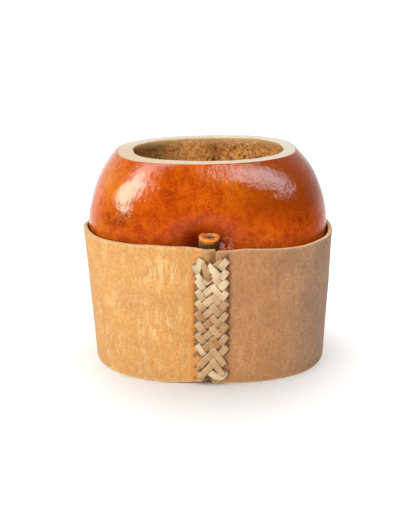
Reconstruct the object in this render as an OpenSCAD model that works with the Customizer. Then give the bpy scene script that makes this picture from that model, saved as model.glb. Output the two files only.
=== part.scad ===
// Mate gourd cup: a flattened calabash standing on edge in a leather sleeve, whose front
// seam is closed by a herringbone lacing. Millimetres, +Z up, the ground at z = 0, the front
// towards -Y, and the origin under the middle of the whole cup.

/* [Gourd] */
// Width of the gourd across its belt
gourd_w = 95.8; // [80:0.2:116]
// Depth of the gourd, front to back, at its belt
gourd_d = 66; // [54:0.5:80]
// Height of the whole gourd, before its mouth was cut
gourd_h = 94.6; // [78:0.2:114]
// How far below its old top the mouth is cut
mouth_drop = 11.1; // [8:0.1:16]
// Thickness of the gourd's wall
wall_t = 3.5; // [2.5:0.1:6]
// Gap between the gourd's underside and the ground
gourd_lift = 2; // [1:0.5:4]
// Turn of the mouth about the upright axis, in degrees
mouth_yaw = 6; // [0:1:10]
// How far the mouth lies to the left of the gourd's middle
mouth_shift = 0.7; // [0:0.1:3]

/* [Stem end] */
// Place of the stem to the right of the middle
stem_x = 0.2; // [-3:0.1:3]
// Height of the stem above the gourd's belt
stem_rise = 7.5; // [4:0.5:12]
// Depth of the dimple round the stem
dimple_depth = 5; // [2:0.5:7]
// Half width of the dimple
dimple_w = 11; // [8:0.5:16]
// Half height of the dimple
dimple_h = 8; // [6:0.5:12]
// Width of the stem stub at its cut end
stem_w = 9.2; // [6:0.2:12]
// Thickness of the stem stub at its cut end
stem_t = 6.4; // [4:0.2:10]
// How far the stub's cut end stands above its root
stem_climb = 3.5; // [2:0.1:6]
// Place of the dry hollow in the stub's cut end, to the right of its middle
pith_x = 0.8; // [-1.5:0.1:1.5]
// Depth of that hollow
pith_depth = 1.6; // [0.6:0.2:3]

/* [Leather sleeve] */
// Height of the sleeve
sleeve_h = 56.6; // [46:0.5:68]
// Thickness of the leather
leather_t = 1.6; // [1.2:0.1:2.4]
// How much wider the sleeve is at its top than at the ground, on each side
sleeve_draft = 1.8; // [0:0.1:3]
// How much deeper the sleeve is at the ground than at its top, front and back
sleeve_flare = 0.7; // [0:0.1:3]
// How far the ground edge lies to the right of the top edge
sleeve_lean = 0.5; // [-2:0.1:2]
// How much the top edge is higher at the left end than at the right end
edge_slope = 2.4; // [0:0.5:4]
// How far the top edge dips at the seam
seam_dip = 1.2; // [0:0.1:3]
// Place of the seam to the right of the middle, at the top edge
seam_top_x = 3.1; // [0:0.1:4]
// Place of the seam to the right of the middle, at the ground
seam_low_x = 1.5; // [0:0.1:4]
// How far the left end of the strip runs behind the right end
lap_l = 3; // [1:0.5:6]
// Length over which the left end turns inwards
lap_turn = 5; // [3:0.5:8]

/* [Lacing] */
// How far the lacing's middle lies to the left of the seam's middle
lacing_side = 0.8; // [0:0.1:3]
// Width of the lacing across the seam
lacing_w = 12.8; // [9:0.1:16]
// Width of one lace
lace_w = 2.7; // [2:0.1:3.5]
// Height of one lace above the bed of the lacing
lace_t = 1.3; // [0.8:0.1:2]
// Thickness of the bed that the laces cross on
bed_t = 0.9; // [0.5:0.1:1.4]
// Height of the lacing's lower end above the ground
lacing_low = 2; // [1:0.1:6]
// Height of the lacing's upper end below the edge of the sleeve
lacing_drop = 1.8; // [1:0.1:8]
// Number of laces that show in each of the four columns
lace_rows = 11; // [6:1:16]
// Slope of the laces from the level, in degrees
lace_slope = 48; // [35:1:60]

/* [Fits] */
// Gap between the gourd's belt and the leather
belt_fit = 0.3; // [0.2:0.05:0.6]
// Gap between the two ends of the strip where they lap
lap_fit = 0.15; // [0.1:0.05:0.5]
// Gap between the lacing and the leather
lacing_fit = 0.1; // [0.05:0.05:0.4]

/* [Hidden] */

// Superellipse powers: the gourd's profile, its depth's profile, its plan at belt and mouth,
// and the plan of the sleeve, which stands a little squarer than the belt
profile_n = 2.45;
depth_n = 1.9;
belt_n = 2.7;
mouth_n = 2.42;
sleeve_n = belt_n + 0.15;

belt_z = gourd_lift + gourd_h / 2;
mouth_z = gourd_lift + gourd_h - mouth_drop;
mouth_level = (mouth_z - belt_z) / (gourd_h / 2);
stem_z = belt_z + stem_rise;

// The stub's root lies under the dimple's middle, and its leans are measured from the level
stem_droop = 2;
stem_root_lean = 20;
stem_end_lean = 68;
stem_root_flare = 0.25;
pith_share = 0.4;

// The strip laps at the front only, so the gourd stands half a lap behind the sleeve's middle
lap_depth = leather_t + lap_fit;
lacing_proud = lacing_fit + bed_t + lace_t;
sleeve_y = lacing_proud / 2;
gourd_y = sleeve_y + lap_depth / 2;

// Half width of the dip in the top edge at the seam
dip_w = 6;

// Numbers of facets
gourd_sides = 56;
outer_rows = 28;
inner_rows = 12;
sleeve_steps = 64;
lap_steps = 8;
bed_steps = 4;
stem_steps = 9;
stem_sides = 16;
lace_sides = 8;

// Columns of laces, how far a lace runs on under its neighbour as a share of its width, how
// deep it sits in the bed, and how much narrower its top is than its foot
lace_columns = 4;
lace_tuck = 0.35;
lace_sink = 0.2;
lace_crown = 0.72;

// ---------------------------------------------------------------- shape functions

// Half width left at the level u of a superellipse, where u runs from -1 to 1
function left_at(u, n, m) = pow(max(0, 1 - pow(abs(u), n)), 1 / m);

// Distance from the middle to a superellipse of half sizes a and b, in the direction ang
function plan_r(a, b, n, ang) = pow(pow(abs(cos(ang)) / a, n) + pow(abs(sin(ang)) / b, n), -1 / n);

function bump(x, w) = exp(-pow(x / w, 2));

// Level of the profile's point in the direction phi, measured from straight down
function level(phi) = -cos(phi) * plan_r(1, 1, profile_n, phi);

// Direction of the mouth's cut for a profile that reaches it at the level u
function cut_phi(u) = 90 + atan(u / left_at(u, profile_n, profile_n));

// ---------------------------------------------------------------- gourd

// How far the stem's dimple pushes the front of the gourd inwards
function dimple(x, z) = dimple_depth * bump(x - stem_x, dimple_w) * bump(z - stem_z, dimple_h);

// Point of the gourd's surface that lies shrink inside its skin
function gourd_point(shrink, phi, ang) =
    let (
        u = level(phi),
        half_h = gourd_h / 2 - shrink,
        z = belt_z + half_h * u,
        up = max(0, (z - belt_z) / (mouth_z - belt_z)),
        a = max(0.01, (gourd_w / 2 - shrink) * left_at(u, profile_n, profile_n)),
        b = max(0.01, (gourd_d / 2 - shrink) * left_at(u, profile_n, depth_n)),
        r = plan_r(a, b, belt_n + (mouth_n - belt_n) * up, ang),
        turn = ang + mouth_yaw * up * up,
        x = r * cos(turn),
        y = r * sin(turn),
        push = y < 0 ? dimple(x, z) * (1 - 0.3 * shrink / wall_t) : 0
    )
    [x - mouth_shift * up, y + push + gourd_y, z];

function gourd_ring(shrink, phi) =
    [for (i = [0:gourd_sides - 1]) gourd_point(shrink, phi, 360 * i / gourd_sides)];

// Rows lie closer together towards the mouth, where the dimple and the rim need them
function row_phi(k, rows, last) = last * pow(k / rows, 0.8);

// A closed pot: outside from the bottom up, over the cut rim, and down the inside
module gourd_pot() {
    in_half_h = gourd_h / 2 - wall_t;
    out_cut = cut_phi(mouth_level);
    in_cut = cut_phi((mouth_z - belt_z) / in_half_h);
    rings = concat(
        [for (k = [1:outer_rows]) gourd_ring(0, row_phi(k, outer_rows, out_cut))],
        [for (k = [inner_rows:-1:1]) gourd_ring(wall_t, row_phi(k, inner_rows, in_cut))]
    );
    n = gourd_sides;
    last = len(rings) - 1;
    foot = n * len(rings);
    points = concat([for (ring = rings) each ring],
                    [[0, gourd_y, gourd_lift], [0, gourd_y, gourd_lift + wall_t]]);
    sides = [for (k = [0:last - 1], i = [0:n - 1], half = [0, 1])
        let (j = (i + 1) % n)
        half == 0 ? [k * n + i, (k + 1) * n + i, (k + 1) * n + j]
                  : [k * n + i, (k + 1) * n + j, k * n + j]];
    floors = [for (i = [0:n - 1], inside = [0, 1])
        let (j = (i + 1) % n)
        inside == 0 ? [foot, i, j] : [foot + 1, last * n + j, last * n + i]];
    polyhedron(points, concat(sides, floors), convexity = 6);
}

// The stub is rooted in the wall under the dimple, curves forwards and up out of it, and is
// cut at a slant. Its end stays behind the gourd's own front, so the leather clears it.
function stem_lean(t) = stem_root_lean + (stem_end_lean - stem_root_lean) * t;
function stem_girth(t) = 1 + stem_root_flare * (1 - t) * (1 - 2 * t);

function stem_at(t) =
    let (
        front = gourd_y - gourd_d / 2,
        root_y = front + dimple_depth + wall_t / 2,
        end_y = front + stem_t / 2 * sin(stem_end_lean)
    )
    [stem_x, root_y + (end_y - root_y) * t, stem_z - stem_droop + stem_climb * t * t];

module stem_slice(t, size = 1, thick = 0.3) {
    translate(stem_at(t))
        rotate([90 - stem_lean(t), 0, 0])
        scale([stem_girth(t) * stem_w / 2 * size, stem_girth(t) * stem_t / 2 * size, 1])
        cylinder(r = 1, h = thick, $fn = stem_sides);
}

module gourd() {
    color("#c8601c")
    difference() {
        union() {
            gourd_pot();
            for (k = [0:stem_steps - 1])
                hull() {
                    stem_slice(k / stem_steps);
                    stem_slice((k + 1) / stem_steps);
                }
        }
        translate([pith_x, 0, 0] - pith_depth * [0, -cos(stem_end_lean), sin(stem_end_lean)])
            stem_slice(1, pith_share, 2 * pith_depth);
    }
}

// ---------------------------------------------------------------- leather sleeve

function seam_x(z) = seam_low_x + (seam_top_x - seam_low_x) * z / sleeve_h;

// Half sizes of the sleeve's plan at the height z, out to the distance out from its inner face
function sleeve_a(z, out) = gourd_w / 2 + belt_fit + sleeve_draft * (z - belt_z) / sleeve_h + out;
function sleeve_b(z, out) =
    (gourd_d + lap_depth) / 2 + belt_fit + sleeve_flare * max(0, 1 - z / belt_z) + out;

// Middle of the sleeve's plan at the height z
function lean_x(z) = sleeve_lean * (1 - z / sleeve_h);

// Direction of a point of the sleeve's front that lies at x
function front_ang(x, z, out) = -90 + atan((x - lean_x(z)) / sleeve_b(z, out));

// Height of the top edge: a straight slope with a dip where the ends meet
function edge_z(x, front) =
    sleeve_h - edge_slope * x / gourd_w - (front ? seam_dip * bump(x - seam_top_x, dip_w) : 0);

// Point of the strip: part runs from 0 at the seam, round the cup, to 1 where the turn starts,
// and past 1 along the end that turns inwards behind the other
function strip_ang(part, z) =
    let (
        first = front_ang(seam_x(z), z, leather_t),
        turn = 360 + front_ang(seam_x(z) - lap_turn, z, leather_t),
        last = 360 + front_ang(seam_x(z) + lap_l, z, leather_t)
    )
    part <= 1 ? first + (turn - first) * part : turn + (last - turn) * (part - 1);

function smooth(t) = let (c = min(1, max(0, t))) c * c * (3 - 2 * c);

function strip_point(part, z, out) =
    let (
        ang = strip_ang(part, z),
        tuck = lap_depth * smooth((part - 1) * (lap_turn + lap_l) / lap_turn),
        r = plan_r(sleeve_a(z, out - tuck), sleeve_b(z, out - tuck), sleeve_n, ang)
    )
    [lean_x(z) + r * cos(ang), sleeve_y + r * sin(ang)];

// Four corners of the strip's cut across, from the ground up the outside and down the inside
function strip_section(part) =
    let (
        low_in = strip_point(part, 0, 0),
        low_out = strip_point(part, 0, leather_t),
        high_in = strip_point(part, sleeve_h, 0),
        high_out = strip_point(part, sleeve_h, leather_t),
        top = edge_z(high_out[0], high_out[1] < 0)
    )
    [[low_in[0], low_in[1], 0], [low_out[0], low_out[1], 0],
     [high_out[0], high_out[1], top], [high_in[0], high_in[1], top]];

module sleeve() {
    parts = concat([for (i = [0:sleeve_steps - 1]) i / sleeve_steps],
                   [for (i = [0:lap_steps]) 1 + i / lap_steps]);
    points = [for (part = parts) each strip_section(part)];
    last = len(parts) - 1;
    walls = [for (k = [0:last - 1], i = [0:3], half = [0, 1])
        let (j = (i + 1) % 4)
        half == 0 ? [4 * k + i, 4 * k + j, 4 * (k + 1) + j]
                  : [4 * k + i, 4 * (k + 1) + j, 4 * (k + 1) + i]];
    ends = [[0, 2, 1], [0, 3, 2],
            [4 * last, 4 * last + 1, 4 * last + 2], [4 * last, 4 * last + 2, 4 * last + 3]];
    color("#d2a064")
        polyhedron(points, concat(walls, ends), convexity = 4);
}

// ---------------------------------------------------------------- lacing

lacing_x = (seam_top_x + seam_low_x) / 2 - lacing_side;
lacing_top = edge_z(lacing_x, true) - lacing_drop;
lacing_h = lacing_top - lacing_low;
lace_pitch = lacing_h / (lace_rows + 1);
bed_inset = lace_w / 3;

// Point of the sleeve's front face at x and z, lifted off the leather by lift
function front_point(x, z, lift) =
    let (
        out = leather_t + lift,
        a = sleeve_a(z, out),
        b = sleeve_b(z, out),
        across = (x - lean_x(z)) / a
    )
    [x, sleeve_y - b * left_at(across, sleeve_n, sleeve_n), z];

module lacing_bed() {
    half = lacing_w / 2 - bed_inset;
    zs = [lacing_low + bed_inset, lacing_top - bed_inset];
    points = [for (i = [0:bed_steps], z = zs, lift = [lacing_fit, lacing_fit + bed_t])
        front_point(lacing_x - half + 2 * half * i / bed_steps, z, lift)];
    walls = [for (k = [0:bed_steps - 1], pair = [[0, 1], [1, 3], [3, 2], [2, 0]], half_face = [0, 1])
        let (i = 4 * k + pair[0], j = 4 * k + pair[1])
        half_face == 0 ? [i, j, j + 4] : [i, j + 4, i + 4]];
    e = 4 * bed_steps;
    ends = [[0, 2, 3], [0, 3, 1], [e, e + 1, e + 3], [e, e + 3, e + 2]];
    polyhedron(points, concat(walls, ends), convexity = 4);
}

// One visible stretch of lace: a flat bar with round ends that leans by lean degrees
module lace(x, z, length, lean) {
    run = max(lace_w / 10, length - lace_w) / 2 * [cos(lean), sin(lean)];
    foot = lacing_fit + bed_t - lace_sink;
    hull()
        for (end = [-1, 1])
            translate(front_point(x + end * run[0], z + end * run[1], foot))
                scale([lace_w / 2, lace_t + lace_sink, lace_w / 2])
                rotate([90, 180 / lace_sides, 0])
                cylinder(r1 = 1, r2 = lace_crown, h = 1, $fn = lace_sides);
}

// Columns of laces that lean by turns, each half a pitch above or below its neighbours
module lacing() {
    column_w = (lacing_w - lace_w * (1 - cos(lace_slope))) / lace_columns;
    bar_l = column_w / cos(lace_slope) + lace_w * lace_tuck;
    color("#d8b888")
    union() {
        lacing_bed();
        for (c = [0:lace_columns - 1], k = [0:lace_rows - 1])
            lace(lacing_x + column_w * (c - (lace_columns - 1) / 2),
                 lacing_low + lace_pitch * (k + (c % 2 == 0 ? 1.25 : 0.75)),
                 bar_l, c % 2 == 0 ? -lace_slope : lace_slope);
    }
}

gourd();
sleeve();
lacing();
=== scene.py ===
import math

import bpy
import numpy as np
from mathutils import Euler, Matrix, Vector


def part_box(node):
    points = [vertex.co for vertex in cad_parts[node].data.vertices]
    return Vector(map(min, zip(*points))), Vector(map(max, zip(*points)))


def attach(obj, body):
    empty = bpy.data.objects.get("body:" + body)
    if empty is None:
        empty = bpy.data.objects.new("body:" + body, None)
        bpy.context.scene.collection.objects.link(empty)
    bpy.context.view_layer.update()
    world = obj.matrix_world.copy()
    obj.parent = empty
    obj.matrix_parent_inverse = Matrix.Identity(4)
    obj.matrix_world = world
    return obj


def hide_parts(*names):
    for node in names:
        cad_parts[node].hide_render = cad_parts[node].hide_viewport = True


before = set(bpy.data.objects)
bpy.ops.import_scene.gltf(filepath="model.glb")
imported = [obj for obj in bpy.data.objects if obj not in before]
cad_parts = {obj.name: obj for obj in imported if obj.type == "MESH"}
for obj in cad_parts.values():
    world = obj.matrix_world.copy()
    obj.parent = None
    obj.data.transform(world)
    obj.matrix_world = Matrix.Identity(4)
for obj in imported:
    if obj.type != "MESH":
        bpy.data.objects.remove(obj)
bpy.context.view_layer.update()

# ------------------------------------------------------------------ driving sizes, in metres

MM = 0.001
GOURD_LO, GOURD_HI = (np.array(corner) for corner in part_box("gourd"))
SLEEVE_LO, SLEEVE_HI = (np.array(corner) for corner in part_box("sleeve"))
LACING_LO, LACING_HI = (np.array(corner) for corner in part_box("lacing"))

# The gourd, from its box: half sizes at the belt, and the mouth's height
GOURD_A = (GOURD_HI[0] - GOURD_LO[0]) / 2
GOURD_B = (GOURD_HI[1] - GOURD_LO[1]) / 2
GOURD_Y = (GOURD_HI[1] + GOURD_LO[1]) / 2
GOURD_R = 47.3 * MM
BELT_Z = GOURD_LO[2] + GOURD_R
MOUTH_Z = GOURD_HI[2]
WALL = 3.5 * MM
PROFILE_N, DEPTH_N, BELT_N, MOUTH_N = 2.45, 1.9, 2.7, 2.42
MOUTH_YAW = math.radians(6)
MOUTH_SHIFT = 0.7 * MM
RIM_ROUND, LIP_ROUND = 0.25 * MM, 0.8 * MM

# The stem's dimple and stub
STEM = np.array([0.2 * MM, GOURD_LO[1], BELT_Z + 7.5 * MM])
DIMPLE_DEPTH, DIMPLE_W, DIMPLE_H = 5 * MM, 11 * MM, 8 * MM
STUB_W, STUB_T, STUB_HOLLOW = 8.2 * MM, 6.6 * MM, 1.2 * MM

# The leather sleeve
LEATHER = 1.6 * MM
SLEEVE_H = 56.6 * MM
SLEEVE_Y = (SLEEVE_LO[1] + SLEEVE_HI[1]) / 2
SLEEVE_A = (SLEEVE_HI[0] - SLEEVE_LO[0]) / 2
SLEEVE_FLARE = 1.05 * MM
SLEEVE_B = (SLEEVE_HI[1] - SLEEVE_LO[1]) / 2 - 0.7 * MM
SLEEVE_DRAFT = 1.8 * MM
SLEEVE_LEAN = 0.5 * MM
SLEEVE_N, SLEEVE_LOW_N = 2.85, 2.6
EDGE_SLOPE = 2.4 / 95.8
SEAM_DIP, BACK_DROP = 1.2 * MM, 4.2 * MM
EDGE_ROUND, CORNER_ROUND = 0.35 * MM, 1.1 * MM
SEAM_TOP_X, SEAM_LOW_X = 3.1 * MM, 1.5 * MM
LAP_L, LAP_TURN, LAP_DEPTH = 3 * MM, 5 * MM, 1.75 * MM

# The lacing
LACING_X = (LACING_LO[0] + LACING_HI[0]) / 2
LACING_HALF = 6.25 * MM
LACE_W, LACE_T = 2.5 * MM, 0.5 * MM

# Rows and columns of the grids. The lip is the row in which the cut turns down to the inside
GOURD_COLS, SKIN_ROWS, RIM_ROWS, IN_ROWS, BEND_STEPS = 300, 150, 12, 90, 7
LIP_ROW = SKIN_ROWS + 5 + RIM_ROWS
UP_ROWS, DOWN_ROWS = 84, 30


# ------------------------------------------------------------------ arrays and meshes

def lattice(ix, iy, iz, seed):
    """A repeatable number from -1 to 1 for each whole-number lattice point, by integer hashing."""
    h = (ix * 73856093) ^ (iy * 19349663) ^ (iz * 83492791) ^ (seed * 26544357)
    h = (h ^ (h >> 13)) * 1274126177
    h = (h ^ (h >> 16)) & 0xFFFF
    return h / 32767.5 - 1.0


def noise(points, size, seed):
    """Smooth value noise from -1 to 1: the lattice numbers at the eight corners of each cell of
    the given size, blended along each axis by the ease 6t^5 - 15t^4 + 10t^3."""
    p = points / np.asarray(size)
    cell = np.floor(p).astype(np.int64)
    t = p - cell
    t = t * t * t * (t * (t * 6 - 15) + 10)
    total = 0.0
    for corner in np.ndindex(2, 2, 2):
        weight = np.prod([t[..., k] if c else 1 - t[..., k] for k, c in enumerate(corner)], axis=0)
        ix, iy, iz = (cell[..., k] + c for k, c in enumerate(corner))
        total = total + weight * lattice(ix, iy, iz, seed)
    return total


def layered(points, size, seed, layers=3):
    """Noise with finer layers added, each half as large in size and in height as the last."""
    size = np.asarray(size, float)
    return sum(noise(points, size / 2**k, seed + k) / 2**k for k in range(layers))


def hill(x, width):
    """A bell: one at zero, falling as exp(-(x / width)^2)."""
    return np.exp(-((x / width) ** 2))


def ease(x, start, end):
    """Smooth step from 0 at start to 1 at end, by 3t^2 - 2t^3."""
    t = np.clip((x - start) / (end - start), 0, 1)
    return t * t * (3 - 2 * t)


def grid_faces(rows, cols, wrap_rows, wrap_cols):
    """Index quads of a grid, wound so that columns crossed with rows point outwards."""
    r = np.arange(rows if wrap_rows else rows - 1)
    c = np.arange(cols if wrap_cols else cols - 1)
    r, c = np.meshgrid(r, c, indexing="ij")
    r1, c1 = (r + 1) % rows, (c + 1) % cols
    return np.stack([r * cols + c, r * cols + c1, r1 * cols + c1, r1 * cols + c], -1).reshape(-1, 4)


def grid_normals(points):
    """Unit normals of a grid that wraps along its columns: the cross product of its slopes."""
    along = np.roll(points, -1, axis=1) - np.roll(points, 1, axis=1)
    across = np.gradient(points, axis=0)
    normals = np.cross(along, across)
    return normals / np.maximum(np.linalg.norm(normals, axis=-1, keepdims=True), 1e-12)


def put_mesh(name, points, faces, materials, slots=None, fields=None, uv=None):
    """Builds one object at the origin from a list of face arrays, which may have 3, 4 or more
    corners each, with a material number for each face and named numbers for each point."""
    points = np.asarray(points, float).reshape(-1, 3)
    corners = np.concatenate([f.ravel() for f in faces])
    sizes = np.concatenate([np.full(len(f), f.shape[1]) for f in faces])
    mesh = bpy.data.meshes.new(name)
    mesh.vertices.add(len(points))
    mesh.vertices.foreach_set("co", points.ravel())
    mesh.loops.add(len(corners))
    mesh.loops.foreach_set("vertex_index", corners.astype(np.int32))
    mesh.polygons.add(len(sizes))
    slots = 0 * sizes if slots is None else slots
    numbers = {"loop_start": np.cumsum(sizes) - sizes, "loop_total": sizes, "material_index": slots}
    for key, values in numbers.items():
        mesh.polygons.foreach_set(key, values.astype(np.int32))
    mesh.polygons.foreach_set("use_smooth", np.ones(len(sizes), bool))
    if uv is not None:
        layer = mesh.uv_layers.new(name="strip")
        layer.data.foreach_set("uv", uv.reshape(-1, 2)[corners].ravel())
    for key, values in (fields or {}).items():
        attribute = mesh.attributes.new(key, "FLOAT", "POINT")
        attribute.data.foreach_set("value", np.ravel(values))
    mesh.update()
    mesh.validate()
    for material in materials:
        mesh.materials.append(material)
    piece = bpy.data.objects.new(name, mesh)
    bpy.context.collection.objects.link(piece)
    return piece


# ------------------------------------------------------------------ shader nodes

def feed(tree, socket, value):
    """Links the socket to the value where that is another node's socket, or else sets it. A
    colour is given without its alpha."""
    if isinstance(value, bpy.types.NodeSocket):
        tree.links.new(value, socket)
    else:
        socket.default_value = (*value, 1) if socket.type == "RGBA" else value


def node(tree, kind, settings=None, **inputs):
    """Adds a node; inputs are given by name, with _ for a space, or as i and their number."""
    made = tree.nodes.new("ShaderNode" + kind)
    for key, value in (settings or {}).items():
        setattr(made, key, value)
    for key, value in inputs.items():
        numbered = key[0] == "i" and key[1:].isdigit()
        feed(tree, made.inputs[int(key[1:]) if numbered else key.replace("_", " ")], value)
    return made


def math_node(tree, operation, a, b=0.0):
    """Result of a maths operation on two values."""
    return node(tree, "Math", {"operation": operation}, i0=a, i1=b).outputs[0]


def times(tree, a, b):
    """Product of two values."""
    return math_node(tree, "MULTIPLY", a, b)


def ramp(tree, value, start, end, low=0.0, high=1.0):
    """Value from low at start to high at end, held outside them."""
    return node(tree, "MapRange", {"clamp": True}, Value=value, From_Min=start,
                From_Max=end, To_Min=low, To_Max=high).outputs[0]


def mix(tree, factor, a, b, blend="MIX"):
    """Colour a blended towards b by the factor."""
    return node(tree, "Mix", {"data_type": "RGBA", "blend_type": blend},
                i0=factor, i6=a, i7=b).outputs[2]


def spots(tree, vector, scale, detail=3.0, roughness=0.55, distortion=0.0):
    """Noise texture's value at the given number of features per metre."""
    return node(tree, "TexNoise", Vector=vector, Scale=scale, Detail=detail,
                Roughness=roughness, Distortion=distortion).outputs[0]


def stretched(tree, vector, scale):
    """Coordinates multiplied by a scale along each axis."""
    return node(tree, "Mapping", Vector=vector, Scale=scale).outputs[0]


def field(tree, name):
    """One of the named numbers of the mesh's points."""
    return node(tree, "Attribute", {"attribute_name": name}).outputs["Fac"]


def relief(tree, height, distance, strength=1.0, normal=None):
    """Bump by a height, on top of another normal where one is given."""
    made = node(tree, "Bump", Height=height, Strength=strength, Distance=distance)
    if normal is not None:
        tree.links.new(normal, made.inputs["Normal"])
    return made.outputs[0]


def new_material(name):
    """A material, its node tree and its object coordinates."""
    material = bpy.data.materials.new(name)
    material.use_nodes = True
    tree = material.node_tree
    return material, tree, node(tree, "TexCoord").outputs["Object"]


def finish(material, constants, **links):
    """Sets the shader's own constants and links the values that change over the surface."""
    shader = material.node_tree.nodes["Principled BSDF"]
    for key, value in constants.items():
        shader.inputs[key].default_value = value
    for key, socket in links.items():
        material.node_tree.links.new(socket, shader.inputs[key.replace("_", " ")])
    return material


def make_mottle_group():
    """Cloudy change of tone: coarse and fine noise, multiplied onto a colour."""
    group = bpy.data.node_groups.new("mottled tone", "ShaderNodeTree")
    for label, way, kind in (("Vector", "INPUT", "Vector"), ("Colour", "INPUT", "Color"),
                             ("Coarse", "INPUT", "Float"), ("Fine", "INPUT", "Float"),
                             ("Cloud Depth", "INPUT", "Float"), ("Grain Depth", "INPUT", "Float"),
                             ("Colour", "OUTPUT", "Color"), ("Grain", "OUTPUT", "Float")):
        group.interface.new_socket(label, in_out=way, socket_type="NodeSocket" + kind)
    given = group.nodes.new("NodeGroupInput").outputs
    end = group.nodes.new("NodeGroupOutput")
    coarse = spots(group, given["Vector"], given["Coarse"], 4.0, 0.6)
    fine = spots(group, given["Vector"], given["Fine"], 4.0, 0.7)
    clouds = times(group, ramp(group, coarse, 0.3, 0.7, -1.0, 1.0), given["Cloud Depth"])
    grains = times(group, ramp(group, fine, 0.35, 0.65, -1.0, 1.0), given["Grain Depth"])
    tone = math_node(group, "ADD", math_node(group, "ADD", clouds, grains), 1.0)
    grey = node(group, "CombineColor", Red=tone, Green=tone, Blue=tone).outputs[0]
    group.links.new(mix(group, 1.0, given["Colour"], grey, "MULTIPLY"), end.inputs["Colour"])
    group.links.new(fine, end.inputs["Grain"])
    return group


MOTTLE = make_mottle_group()


def mottled(tree, vector, colour, coarse, fine, cloud_depth, grain_depth):
    """Places the mottled tone group and returns its outputs, Colour and Grain."""
    return node(tree, "Group", {"node_tree": MOTTLE}, Vector=vector, Colour=colour,
                Coarse=coarse, Fine=fine, Cloud_Depth=cloud_depth, Grain_Depth=grain_depth).outputs


def skin_material():
    """Lacquered calabash skin: orange, with amber and red-brown clouds, fine dark flecks, streaks
    that run out from the stem, painted dark red shade in the dimple and painted shade over the
    upper right, and chalky scars in the dimple."""
    material, tree, at = new_material("lacquered gourd skin")
    orange, amber = (0.4896, 0.07616, 0.00238), (0.544, 0.136, 0.00544)
    rust, painted_dimple_shade = (0.272, 0.02448, 0.00102), (0.1156, 0.00816, 0.00068)
    colour = mix(tree, ramp(tree, spots(tree, at, 42, 3, 0.5), 0.45, 0.75), orange, amber)
    cloud = ramp(tree, spots(tree, at, 200, 9, 0.85, 0.4), 0.48, 0.58, 0, 0.7)
    colour = mix(tree, cloud, colour, rust)
    smoke = ramp(tree, spots(tree, at, 700, 6, 0.85, 0.5), 0.43, 0.56)
    colour = mix(tree, times(tree, field(tree, "stain"), smoke), colour, (0.1496, 0.01224, 0.00068))
    fleck = ramp(tree, spots(tree, at, 1000, 5, 0.85, 0.8), 0.49, 0.56, 0, 0.85)
    where = ramp(tree, spots(tree, at, 60, 3), 0.4, 0.65, 0.2, 1)
    colour = mix(tree, times(tree, fleck, where), colour, (0.24, 0.021, 0.001))
    ray_at = node(tree, "Attribute", {"attribute_name": "rays"}).outputs["Vector"]
    ray = ramp(tree, spots(tree, ray_at, 2.4, 6, 0.8), 0.49, 0.6, 0, 0.95)
    colour = mix(tree, times(tree, ray, field(tree, "near_stem")), colour, rust)
    colour = mix(tree, field(tree, "amber_patch"), colour, (0.544, 0.1768, 0.00816))
    # painted shade: the upper right of the skin darker, away from the light
    colour = mix(tree, field(tree, "painted_right_shade"), colour, (0.2, 0.03, 0.001))
    # painted shade in the stem's dimple
    colour = mix(tree, field(tree, "shade"), colour, painted_dimple_shade)
    chalk = ramp(tree, spots(tree, at, 420, 4, 0.7), 0.48, 0.56)
    colour = mix(tree, times(tree, chalk, field(tree, "chalk")), colour, (0.4216, 0.2244, 0.136))
    pits = spots(tree, at, 1400, 3, 0.6)
    dents = spots(tree, at, 260, 2, 0.5)
    brushed = spots(tree, stretched(tree, at, (1, 1, 0.3)), 900, 3, 0.6)
    normal = relief(tree, pits, 0.00015, 0.35, relief(tree, dents, 0.0006, 0.3))
    normal = relief(tree, brushed, 0.0003, 0.35, normal)
    rough = ramp(tree, spots(tree, at, 300, 4, 0.7), 0.3, 0.7, 0.02, 0.06)
    return finish(material, {"IOR": 1.36}, Base_Color=colour, Roughness=rough, Normal=normal)


def rim_material():
    """Cut wall of the gourd: pale cream, whiter to the right and behind, with pores, a brown line
    of skin outside and a darker fringe inside."""
    material, tree, at = new_material("cut gourd rim")
    across = field(tree, "across")
    cut = mix(tree, field(tree, "bleached"), (0.52, 0.393, 0.255), (0.507, 0.475, 0.40))
    cream = mottled(tree, at, cut, 90, 900, 0.04, 0.03)["Colour"]
    colour = mix(tree, ramp(tree, across, 0.09, 0), cream, (0.2952, 0.1066, 0.0246))
    uneven = ramp(tree, spots(tree, at, 700, 3), 0.3, 0.7, -0.07, 0.07)
    inner = ramp(tree, math_node(tree, "ADD", across, uneven), 0.9, 1.03)
    colour = mix(tree, inner, colour, (0.5084, 0.2788, 0.0984))
    pores = relief(tree, spots(tree, at, 1500, 3, 0.7), 0.0002, 0.5)
    return finish(material, {"IOR": 1.4, "Roughness": 0.7}, Base_Color=colour, Normal=pores)


def fibre_material():
    """Dry inside of the gourd: brown fibres that hang down the wall, orange-tan, with painted shade
    that turns the left wall a darker, duller greenish brown, a darker upright band and a pale lip."""
    material, tree, at = new_material("dry gourd fibre")
    hanging = stretched(tree, at, (1, 1, 0.4))
    strands = spots(tree, hanging, 800, 7, 0.85, 0.7)
    clouds = ramp(tree, spots(tree, at, 70, 3, 0.5), 0.42, 0.6, 0, 0.35)
    dark, pale = (0.16, 0.055, 0.013), (1, 0.50, 0.15)
    colour = mix(tree, ramp(tree, strands, 0.42, 0.56), dark, pale)
    colour = mix(tree, clouds, colour, (0.55, 0.25, 0.07))
    # painted shade: the left wall, which faces away from the light, darker and duller
    colour = mix(tree, field(tree, "painted_left_shade"), colour, (0.38, 0.45, 0.52), "MULTIPLY")
    colour = mix(tree, field(tree, "band"), colour, (0.45, 0.34, 0.25), "MULTIPLY")
    colour = mix(tree, field(tree, "lip"), colour, (1, 0.72, 0.38))
    normal = relief(tree, strands, 0.0012, 0.8)
    return finish(material, {"IOR": 1.35, "Roughness": 0.85}, Base_Color=colour, Normal=normal)


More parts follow.
